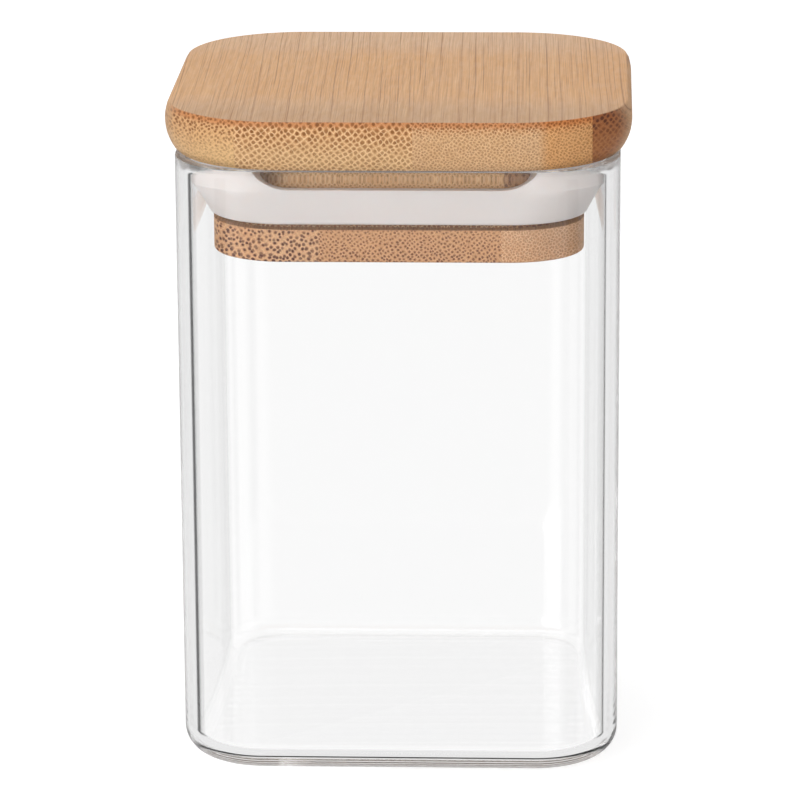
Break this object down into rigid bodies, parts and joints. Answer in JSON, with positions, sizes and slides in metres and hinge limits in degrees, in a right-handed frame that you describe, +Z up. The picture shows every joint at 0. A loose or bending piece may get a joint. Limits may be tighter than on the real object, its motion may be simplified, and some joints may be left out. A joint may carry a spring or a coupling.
{
  "type": "spice jar",
  "caption": "Square clear glass jar with rounded corners and a push-in bamboo lid, sealed by a tapered silicone collar; the lid lifts straight off.",
  "frame": {"origin": "centre of the jar's flat foot", "axes": "+Z up through the lid, -Y towards the front, +X to the right seen from the front; the bamboo's grain runs along Y"},
  "size_m": [0.062, 0.062, 0.09],
  "materials": {
    "clear_glass": "clear and polished",
    "bamboo": "sanded bamboo with a thin satin oil",
    "silicone": "satin white silicone"
  },
  "bodies": {
    "jar": {"glass_jar": "clear_glass"},
    "lid": {"lid_plate_strip_1": "bamboo", "lid_plate_strip_2": "bamboo", "lid_plate_strip_3": "bamboo", "lid_plate_strip_4": "bamboo", "lid_core_strip_1": "bamboo", "lid_core_strip_2": "bamboo", "lid_core_strip_3": "bamboo", "lid_plug_strip_1": "bamboo", "lid_plug_strip_2": "bamboo", "lid_plug_strip_3": "bamboo", "seal_ring": "silicone"}
  },
  "joints": [
    {"name": "lid_lift", "type": "slide", "parent": "jar", "child": "lid", "axis": [0, 0, 1], "range_m": [0, 0.04]}
  ]
}
